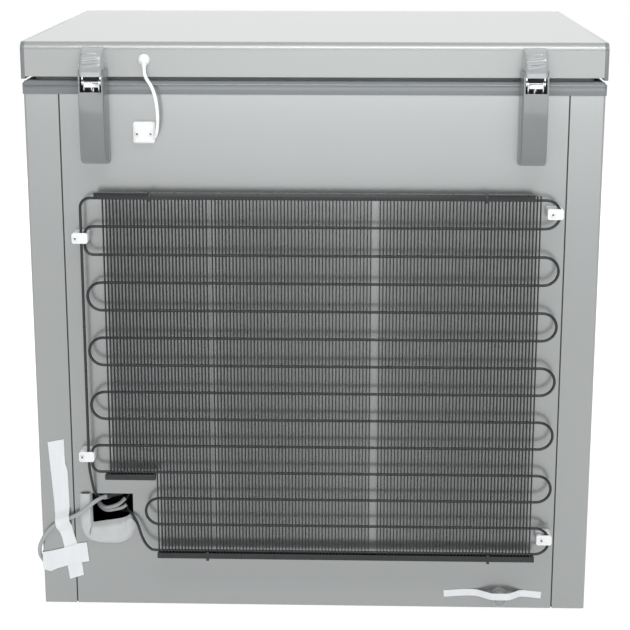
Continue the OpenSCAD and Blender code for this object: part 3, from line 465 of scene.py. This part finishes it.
def make_condenser():
    """One tube: out of the service hole, up the side, down the runs of the grid and back into the hole."""
    def run_z(i):
        return TOP_RUN - i * PITCH

    path = smooth_line([back(317, -12, 176), back(320, -2, 182), back(322, 8, 196), back(324.5, 16, 222),
                        back(325.5, STAND_OFF, 243), back(325.5, STAND_OFF, 300)], 5)
    path += arc(311.5, STAND_OFF, TOP_RUN - 14, 14, 0, 90, 8)
    for i in range(RUNS - 1):
        z = (run_z(i) + run_z(i + 1)) / 2
        left = i % 2 == 0
        cx = BEND_LEFT if left else (SHORT_BEND if i == 11 else BEND_RIGHT)
        if left:
            path += arc(cx, STAND_OFF, z, PITCH / 2, 90, 270)
        elif i in CLIPPED_BENDS:
            path += arc(CLIPPED_AT, STAND_OFF, run_z(i) - CLIPPED_R, CLIPPED_R, 90, 0, 8)
            path += arc(CLIPPED_AT, STAND_OFF, run_z(i + 1) + CLIPPED_R, CLIPPED_R, 0, -90, 8)
        else:
            path += arc(cx, STAND_OFF, z, PITCH / 2, 90, -90)
    path += smooth_line([back(200, STAND_OFF, run_z(13)), back(232, STAND_OFF, run_z(13)), back(240, 19.5, 110),
                         back(246.5, 18.5, 117), back(252, 17, 128), back(256, 14, 139), back(260.5, 10, 148),
                         back(266.5, 4, 156), back(273.5, -4, 160), back(278, -14, 161)], 4)
    put(tube("condenser_tube_curve", path, 2.0, 4), "root", "condenser_enamel", ["condenser_tube"])
    softened("condenser_rails", "root", "condenser_enamel", 0.35, 2)
    softened("condenser_clips", "root", "white_plastic", 0.9, 3)


def make_bay_pipes():
    """Suction, discharge and drier pipes; those in the service hole are sleeved in grey foam."""
    runs = [
        ([mm(328, 161.4, 150), mm(334, 174, 150), mm(343, 190, 152), mm(347, 212, 158), mm(344, 236, 166),
          mm(333, 252, 172), mm(318.5, 258, 174)], 2.4),
        ([mm(188.7, 130, 214), mm(202, 128, 213), mm(211, 118, 200), mm(214, 108, 182), mm(220, 106, 170),
          mm(233, 106, 165)], 3.2),
        ([mm(277.4, 257.6, 161), mm(281, 248, 163), mm(274, 238, 175), mm(252, 230, 186), mm(234, 226.5, 182),
          mm(226, 226, 168), mm(226, 226, 156.1)], 2.2),
        ([mm(226, 226, 77.8), mm(226, 226, 68), mm(220, 220, 56), mm(206, 212, 56), mm(197, 208, 70),
          mm(188.7, 207, 82)], 1.1),
    ]
    parts = [tube("pipe", smooth_line(p, 8), r, 4) for p, r in runs]
    put(merged("bay_pipes_smooth", parts), "root", "copper", ["bay_pipes"])


def make_sleeves():
    """Grey sleeved pipes seen through the service hole, ending inside the bay."""
    runs = [
        ([mm(277, 262, 166), mm(284, 263, 161.5), mm(296, 262, 158), mm(306, 260, 156), mm(316, 254, 158),
          mm(324, 244, 164)], 2.7),
        ([mm(279, 259, 175), mm(287, 262, 168), mm(297, 263, 163.5), mm(308, 261, 161), mm(318, 254, 164),
          mm(325, 243, 172)], 2.9),
        ([mm(322, 263, 181), mm(312, 262, 176.5), mm(303, 261, 178), mm(292, 256, 184),
          mm(282, 248, 186)], 2.6),
    ]
    parts = [tube("sleeve", smooth_line(p, 8), r, 4) for p, r in runs]
    put(merged("sleeved_pipes", parts), "root", "lead_pvc")


# ---- Hinges ----

HINGE_X = 303.0
CAP_LOW = LID_Z / MM + 3.5
CAP_H = 36.5


def cap_depth(h):
    """How far the cap's face stands out from the back panel at height h above its foot."""
    knots = [(0, 34), (6, 34), (12, 32.2), (18, 30), (24, 26.5), (30, 21.5), (34, 14.5), (36, 8), (36.5, 3.5)]
    for (h0, d0), (h1, d1) in zip(knots, knots[1:]):
        if h <= h1:
            t = (h - h0) / (h1 - h0)
            return d0 + (d1 - d0) * t
    return knots[-1][1]


def cap_ridges(x, h):
    """Four slanted, glossy ridges on the upper part of the cap, fading towards its inner side."""
    across = 1 / (1 + math.exp(-(x + 10.5) / 1.6))
    slant = h + 0.10 * x
    bump = sum(math.exp(-((slant - at) / 1.4) ** 2) for at in (13.5, 19.0, 25.5, 31.0))
    return 2.1 * bump * across


def cap_section(half, corner, depth):
    """Points across the cap at one height, as places along X and distances out from the back panel."""
    steps, foot, least = 8, 2.05, 2.3
    turn = [math.radians(90 * k / steps) for k in range(steps + 1)]
    left = [(-half + corner - corner * math.cos(a), max(least, depth - corner + corner * math.sin(a)))
            for a in turn]
    flat = [(-half + corner + (2 * half - 2 * corner) * k / 24, depth) for k in range(1, 24)]
    right = [(-x, out) for x, out in reversed(left)]
    return [(-half, foot)] + left + flat + right + [(half, foot)]


def make_hinge_caps():
    half, corner, rows = 14.4, 2.6, 60
    made = []
    for s in (1, -1):
        verts = []
        for i in range(rows + 1):
            h = CAP_H * i / rows
            for x, out in cap_section(half, corner, cap_depth(h)):
                edge = half - abs(x)
                lift = cap_ridges(x, h) * min(1, edge / 3) if edge > 0.5 else 0
                verts.append(back(s * HINGE_X + x, min(34.2, out + lift) if out > 2.4 else out, CAP_LOW + h))
        obj = mesh_piece("hinge_cap", verts, grid_faces(rows + 1, len(verts) // (rows + 1)))
        thicken(obj, 0.9, -1)
        made.append(apply_modifiers(obj, 50))
    put(merged("hinge_caps_ridged", made), "lid", "hinge_plastic", ["hinge_caps"], mat="cap_plastic")


def make_hinges():
    softened("hinge_covers", "root", "hinge_plastic", 1.3, 4)
    make_hinge_caps()


# ---- Lamp lead ----

LAMP_ROUTE = [(232.3, 9.6, 818), (232.2, 9.2, 812), (230.9, 13, 806), (227.5, 17, 800), (222, 19, 792),
              (217.5, 20, 780), (215, 20.5, 766), (214, 19.5, 750), (215, 16, 735), (217, 11, 725),
              (219.9, 6, 719)]


def make_lamp_lead():
    line = smooth_line([back(*p) for p in LAMP_ROUTE], 8)
    lead = tube("lamp_lead_curve", line, 2.4, 5)
    lead = merged("lamp_lead_smooth", [lead])
    put(lead, None, "white_lead", ["lamp_lead"])
    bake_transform(lead)
    softened("lamp_lead_grommet", "lid", "white_plastic", 0.5, 3)
    softened("lamp_lead_plate", "root", "white_plastic", 0.8, 3)


# ---- Felt sleeve folded out of the service hole ----

# Sections across the sleeve, from its edge in the hole to its outer edge, as places on the panel.
SLEEVE = [((327.1, 188), (343.8, 187.6)), ((326.6, 176), (344.8, 175)), ((326.8, 160), (345.3, 160)),
          ((326.6, 149), (345.0, 144)), ((326.2, 141.8), (341.4, 128)), ((324.6, 140.6), (333.8, 116.6)),
          ((318, 141.8), (321.5, 111.2)), ((306, 143.8), (304, 109.6)), ((292.5, 145.9), (286, 110.8)),
          ((281, 148.3), (273.8, 116)), ((275, 151), (265.6, 125)), ((270, 154.7), (258.3, 137))]


def ramp(t, a, b):
    """Smooth step from 0 at a to 1 at b."""
    t = min(1.0, max(0.0, (t - a) / (b - a)))
    return t * t * (3 - 2 * t)


def near_lead(x, z):
    """Distance in the panel's plane from the lead's middle line, and the line's distance out from the panel."""
    best, out = 1e9, 0.0
    over_panel = LEAD_ROUTE[2:20]
    line = [(x, z, y - BACK_Y / MM) for x, y, z in over_panel]
    for (ax, az, ao), (bx, bz, bo) in zip(line, line[1:]):
        dx, dz = bx - ax, bz - az
        t = max(0.0, min(1.0, ((x - ax) * dx + (z - az) * dz) / (dx * dx + dz * dz)))
        far = math.hypot(x - ax - t * dx, z - az - t * dz)
        if far < best:
            best, out = far, ao + (bo - ao) * t
    return best, out


def make_sleeve():
    """Padded felt, tucked into the hole along one edge and folded flat against the panel."""
    steps, cols, padding = 12, 30, 7.4
    inner = smooth_line([Vector((a[0], 0, a[1])) for a, b in SLEEVE], steps)
    outer = smooth_line([Vector((b[0], 0, b[1])) for a, b in SLEEVE], steps)
    rows = len(inner)
    verts = []
    for i in range(rows):
        u = i / steps  # counts the sections, from the upper left round to the lower right
        for j in range(cols):
            v = j / (cols - 1)  # 0 in the hole, 1 at the outer edge
            p = inner[i].lerp(outer[i], v)
            plump = padding - 2.6 * (1 - ramp(u, 2.6, 4.2)) - 2.4 * ramp(u, 9.6, 11)
            dome = ramp(v, -0.06, 0.22) * math.sqrt(max(0.0, 1 - ramp(v, 0.62, 1.0) ** 2 * 0.992))
            along = 4.55 + 0.75 * v
            crease = 6.6 * math.exp(-((u - along) / (0.10 + 0.12 * v)) ** 2) * (1 - ramp(v, 0.5, 0.85))
            fold = 2.4 * math.exp(-((u - 9.25 + 0.5 * v) / 0.26) ** 2) * (1 - ramp(v, 0.35, 0.75))
            lump = noise.noise(Vector((p.x * 0.05, 3.0, p.z * 0.05)))
            out = -3.4 * (1 - ramp(v, 0.0, 0.16)) + plump * dome + 0.8 * lump * dome - (crease + fold) * dome
            far, lead = near_lead(p.x, p.z)
            pressed = lead - LEAD_D / 2 - 1.3 + 5.0 * ramp(far, 2.5, 10)
            if v > 0.1 and p.z > 150:
                out = min(out, pressed)
            verts.append(back(p.x, max(out, 0.75) if v > 0.16 else out, p.z + 0.7 * lump * v))
    obj = mesh_piece("service_sleeve", verts, grid_faces(rows, cols))
    thicken(obj, 1.3, 0)
    sub = obj.modifiers.new("sub", "SUBSURF")
    sub.levels = sub.render_levels = 1
    apply_modifiers(obj, 60)
    put(obj, "root", "felt", ["hole_pouch"])


# ---- Tape strips ----

TAPE_LIFT = 0.35
UPRIGHT_LEFT = [(389, 266), (386, 222), (384.5, 198), (383, 176), (381, 140), (373, 115), (368, 82),
                (363.6, 50)]
UPRIGHT_RIGHT = [(365, 271), (364.6, 236), (361.6, 222), (360.6, 186), (359.8, 150), (356.5, 128), (347, 90),
                 (342.8, 57)]
CROSS_TOP = [(402.9, 93), (388, 96), (372, 100), (352, 107), (336.5, 109.5)]
CROSS_LOW = [(402.9, 66), (392, 63), (380, 68), (356, 75), (333.8, 79.5)]


def strip_grid(edge_a, edge_b, steps, cols):
    """Rows of points across a strip that lies between two smoothed edges."""
    a = smooth_line([Vector((x, 0, z)) for x, z in edge_a], steps)
    b = smooth_line([Vector((x, 0, z)) for x, z in edge_b], steps)
    return [[a[i].lerp(b[i], j / (cols - 1)) for j in range(cols)] for i in range(len(a))]


def tape_height(x, z, seed, lift):
    """Height of a strip over the panel: it bridges the lead and wrinkles a little."""
    far, lead = near_lead(x, z)
    bump = (lead + LEAD_D / 2 + 0.3) * (1 - ramp(far, 2.8, 15))
    wide = noise.noise(Vector((x * 0.045, seed, z * 0.02)))
    narrow = noise.noise(Vector((x * 0.2, seed, z * 0.05)))
    return lift + bump + 0.45 * abs(wide + 0.5 * narrow)


def make_upright_tape():
    """Wide strip that runs down the panel and over the lead."""
    cols = 16
    grid = strip_grid(UPRIGHT_LEFT, UPRIGHT_RIGHT, 12, cols)
    verts = [back(p.x + 0.25 * noise.noise(Vector((p.z * 0.3, 1, j * 9))),
                  tape_height(p.x, p.z, 2.0, TAPE_LIFT), p.z)
             for row in grid for j, p in enumerate(row)]
    strip = thicken(mesh_piece("upright", verts, grid_faces(len(grid), cols)), 0.28)
    apply_modifiers(strip)
    put(strip, "root", "tape", ["tape_strips"])
    strip.name = "upright_tape"


def make_cross_tape():
    """Strip across the foot of the upright one, folded round the corner of the cabinet onto its side."""
    cols = 14
    heights = [93 - 27 * j / (cols - 1) for j in range(cols)]
    side = [Vector((403.35, -1.2 - 14.0 * (1 - k / 8), z)) for k in range(8) for z in heights]
    corner = [Vector((402.7 + 0.65 * math.cos(a), -0.6 + 1.7 * math.sin(a), z))
              for a in (0.4, 0.8, 1.2) for z in heights]
    grid = strip_grid(CROSS_TOP, CROSS_LOW, 12, cols)
    verts = [back(v.x, v.y, v.z) for v in side + corner]
    verts += [back(min(p.x, 402.6), 1.15 + 0.35 * abs(noise.noise(Vector((p.x * 0.06, 5, p.z * 0.03)))), p.z)
              for row in grid for p in row]
    strip = thicken(mesh_piece("cross", verts, grid_faces(8 + 3 + len(grid), cols)), 0.28)
    apply_modifiers(strip)
    put(strip, "root", "tape")
    strip.name = "cross_tape"


def make_drain_tape():
    """Narrow, crimped strip that runs over the flange of the drain outlet, flat on both sides of it."""
    cols, width = 9, 10.4
    knots = [(-194, 0.4, 33.9), (-212, 0.4, 35.4), (-229, 0.5, 36.5), (-243, 2.0, 36.4), (-255, 9.0, 36.2),
             (-264, 14.2, 36.2), (-276, 14.9, 36.2), (-288, 14.2, 36.2), (-297, 9.0, 36.2), (-306, 2.0, 36.0),
             (-316, 0.5, 35.3), (-338, 0.4, 32.8)]
    centre = smooth_line(knots, 8)
    verts = []
    for i, p in enumerate(centre):
        for j in range(cols):
            t = j / (cols - 1) - 0.5
            ragged = 0.8 * t if i == 0 else (-0.9 * t if i == len(centre) - 1 else 0)
            crimp = 0.22 * math.sin(j * 2.1 + 0.6 * math.sin(p.x * 0.08)) + 0.15
            verts.append(back(p.x + ragged, p.y + max(0, crimp), p.z + width * t))
    strip = thicken(mesh_piece("drain", verts, grid_faces(len(centre), cols)), 0.25)
    apply_modifiers(strip)
    put(strip, "root", "tape")
    strip.name = "drain_tape"


# ---- Lid gasket ----

def rounded_ring(w, d, r, n=6):
    """Corners and sides of a rounded rectangle about the origin."""
    pts = []
    for cx, cy, a0 in ((w / 2 - r, d / 2 - r, 0), (-w / 2 + r, d / 2 - r, 90), (-w / 2 + r, -d / 2 + r, 180),
                       (w / 2 - r, -d / 2 + r, 270)):
        for k in range(n + 1):
            a = math.radians(a0 + 90 * k / n)
            pts.append((cx + r * math.cos(a), cy + r * math.sin(a)))
    return pts


def make_gasket():
    """Magnetic gasket with a bellows above its foot, all round the lid."""
    low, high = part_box("lid_gasket")
    mid_y = (low.y + high.y) / 2
    w, d = (high.x - low.x) / MM, (high.y - low.y) / MM
    z0, h = low.z / MM, (high.z - low.z) / MM
    outline = [(0.6, 0.0), (0.1, 0.12), (0.0, 0.3), (0.25, 0.48), (1.5, 0.56), (2.2, 0.64), (1.4, 0.73),
               (0.5, 0.82), (0.3, 0.92), (0.8, 1.0), (10.5, 1.0), (11.6, 0.9), (11.0, 0.74), (12.0, 0.6),
               (12.8, 0.4), (12.8, 0.15), (12.2, 0.0)]
    verts = []
    for inset, t in outline:
        r = max(2.0, 14 - inset)
        for x, y in rounded_ring(w - 2 * inset, d - 2 * inset, r):
            verts.append(Vector((x * MM, mid_y + y * MM, (z0 + h * t) * MM)))
    cols = len(verts) // len(outline)
    faces = grid_faces(len(outline), cols, close=True)
    last = (len(outline) - 1) * cols
    faces += [(last + j, last + (j + 1) % cols, (j + 1) % cols, j) for j in range(cols)]
    obj = mesh_piece("gasket_bellows", verts, faces)
    obj.data.set_sharp_from_angle(angle=math.radians(50))
    put(obj, "lid", "gasket_rubber", ["lid_gasket"])


# ---- Basket ----

def make_basket():
    """Basket of coated wire, hung by its rim on the tub's ledges."""
    low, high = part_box("storage_basket")
    cx, cy = (low.x + high.x) / 2, (low.y + high.y) / 2
    rim = (high.z - low.z) / MM
    w, d = (high.x - low.x) / MM, (high.y - low.y) / MM
    body_w, body_d = w - 4, d - 24

    def ring(width, depth, r, z):
        pts = [Vector((cx + x * MM, cy + y * MM, low.z + z * MM)) for x, y in rounded_ring(width, depth, r, 8)]
        return pts + [pts[0]]

    def wire(pts):
        return tube("w", [Vector((cx + x * MM, cy + y * MM, low.z + z * MM)) for x, y, z in pts], 1.2, 2)

    # The rim and the wires that run round, then those across and those along.
    parts = [tube("w", ring(w - 5, d - 5, 22, rim - 2.6), 2.5, 3)]
    for z, r in ((rim - 12, 1.6), (rim * 0.62, 1.3), (rim * 0.34, 1.3), (3.2, 1.9)):
        parts.append(tube("w", ring(body_w - 5, body_d - 5, 20, z), r, 3))
    count = 13
    for k in range(count):
        x = (-0.5 + (k + 0.5) / count) * (body_w - 36)
        y = body_d / 2 - 3.6
        pts = [(x, -y - 8, rim - 3), (x, -y, rim - 10), (x, -y, 6), (x, -y + 5, 2.0), (x, y - 5, 2.0),
               (x, y, 6), (x, y, rim - 10), (x, y + 8, rim - 3)]
        parts.append(wire(pts))
    count = 21
    for k in range(count):
        y = (-0.5 + (k + 0.5) / count) * (body_d - 40)
        x = body_w / 2 - 3.6
        pts = [(-x, y, rim - 3), (-x, y, 6), (-x + 5, y, 3.8), (x - 5, y, 3.8), (x, y, 6), (x, y, rim - 3)]
        parts.append(wire(pts))
    put(merged("wire_basket", parts), "basket", "basket_wire", ["storage_basket"])


# ---- CAD nodes that keep their shape ----

SOFT_EDGES = {
    "top_collar": ("root", "collar_plastic", 0.9), "lid_end_trims": ("lid", "trim_plastic", 1.4),
    "lid_handle": ("lid", "panel_plastic", 1.6), "control_panel": ("root", "panel_plastic", 0.8),
    "vent_grille": ("root", "vent_plastic", 0.5), "drain_outlet": ("root", "drain_plastic", 0.6),
    "terminal_box": ("root", "black_plastic", 2.0), "front_feet": ("root", "foot_plastic", 0.8),
    "thermostat_knob": ("knob", "panel_plastic", 0.7), "lamp_housing": ("lid", "white_plastic", 1.0),
    "lamp_cover": ("lid", "lens", 0.8), "drain_plug": ("plug", "white_plastic", 0.6),
    "hinge_brackets": ("root", "zinc", 0.3), "panel_screws": ("root", "zinc", 0.45),
    "bay_base_plate": ("root", "galvanised", 0.25), "roller_left": ("roller_left_body", "foot_plastic", 0.8),
    "roller_right": ("roller_right_body", "foot_plastic", 0.8),
}


def make_collar_lip():
    """The collar's sloping upper rim, which stands out a little behind the lid and catches the light."""
    low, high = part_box("top_collar")
    front_r, rear_r = 9.6, 5.5
    x1, y0, y1 = high.x / MM - 0.1, low.y / MM + 0.1, high.y / MM + 3.0
    section = [(4.0, -2.2), (0.6, -2.2), (0.1, -1.8), (0, -1.2), (0.15, -0.6), (0.6, 0), (3.4, 3.3),
               (4.2, 3.8), (5.0, 3.95), (8.8, 3.9), (9.5, 3.3), (9.6, -0.1)]
    corners = ((1, 1, rear_r, 0), (-1, 1, rear_r, 90), (-1, -1, front_r, 180), (1, -1, front_r, 270))
    ring = []
    for sx, sy, r, start in corners:
        x, y = sx * (x1 - r), (y1 - r if sy > 0 else y0 + r)
        ring += [(x, y, r, math.radians(start + 90 * k / 10)) for k in range(11)]
    verts = []
    for inward, up in section:
        for x, y, r, a in ring:
            away = r - inward
            verts.append(mm(x + away * math.cos(a), y + away * math.sin(a), COLLAR_TOP / MM + up))
    n = len(ring)
    faces = [(i * n + k, i * n + (k + 1) % n, (i + 1) * n + (k + 1) % n, (i + 1) * n + k)
             for i in range(len(section) - 1) for k in range(n)]
    obj = put(mesh_piece("collar_lip", verts, faces), "root", "collar_plastic")
    obj.data.set_sharp_from_angle(angle=math.radians(60))


def make_painted_slot_shade():
    """Dark crosses laid over the heads of the screws in the clips and in the lead's plate: painted shade of
    their cross slots.
    """
    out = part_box("panel_screws")[1].y / MM - BACK_Y / MM
    plate_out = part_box("lamp_lead_plate")[1].y / MM - BACK_Y / MM + 1.6
    heads = [(333, 578, out), (334, 253, out), (-332.5, 616, out), (-332.5, 131, out),
             (225.2, 724, plate_out), (244.3, 724, plate_out)]
    made = []
    for x, z, top in heads:
        for turn in (35, 125):
            a = math.radians(turn)
            along, over = (2.0 * math.cos(a), 2.0 * math.sin(a)), (-0.55 * math.sin(a), 0.55 * math.cos(a))
            corners = [(x + u * along[0] + v * over[0], z + u * along[1] + v * over[1])
                       for u, v in ((-1, -1), (1, -1), (1, 1), (-1, 1))]
            verts = [back(cx, top + lift, cz) for lift in (-0.4, 0.06) for cx, cz in corners]
            faces = [(3, 2, 1, 0), (4, 5, 6, 7), (0, 1, 5, 4), (1, 2, 6, 5), (2, 3, 7, 6), (3, 0, 4, 7)]
            made.append(mesh_piece("slot", verts, faces, smooth=False))
    # Black crosses as painted shade, where the slot recesses would be shaded.
    put(merged("painted_screw_slot_shade", made), "root", "black_plastic")


def make_painted_groove_shade():
    """Dark strips at the bottom of the grooves between the side panels and the back panel: painted shade in the
    grooves.
    """
    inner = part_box("back_panel")[1].x / MM
    low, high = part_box("back_panel")[0].z / MM + 2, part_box("top_collar")[0].z / MM + 4
    made = []
    for s in (1, -1):
        x0, x1 = sorted((s * (inner + 0.05), s * (inner + 1.95)))
        section = ((x0, -0.95), (x1, -0.95), (x1, -0.6), (x0, -0.6))
        corners = [(x, out, z) for z in (low, high) for x, out in section]
        faces = [(0, 1, 2, 3), (7, 6, 5, 4), (0, 4, 5, 1), (1, 5, 6, 2), (2, 6, 7, 3), (3, 7, 4, 0)]
        made.append(mesh_piece("groove_shade_strip", [back(*c) for c in corners], faces, smooth=False))
    # Painted shade: black strips that darken the grooves.
    put(merged("painted_groove_shade", made), "root", "black_plastic")


def finish_cad_nodes():
    slots = {s["node"]: s["material_slot"] for s in frame["record"]["subparts"]}
    for name, obj in NODES.items():
        obj.data.materials.clear()
        obj.data.materials.append(MATS["lid_metal" if name == "lid_skin" else slots[name]])


make_camera()
make_lights()
make_floor()
make_lead()
make_gland()
finish_cad_nodes()
make_condenser()
make_bay_pipes()
make_sleeves()
make_hinges()
make_lamp_lead()
make_sleeve()
make_upright_tape()
make_cross_tape()
make_drain_tape()
make_gasket()
make_basket()
make_painted_groove_shade()
make_collar_lip()
make_painted_slot_shade()
for node, (body, slot_name, width) in SOFT_EDGES.items():
    softened(node, body, slot_name, width)
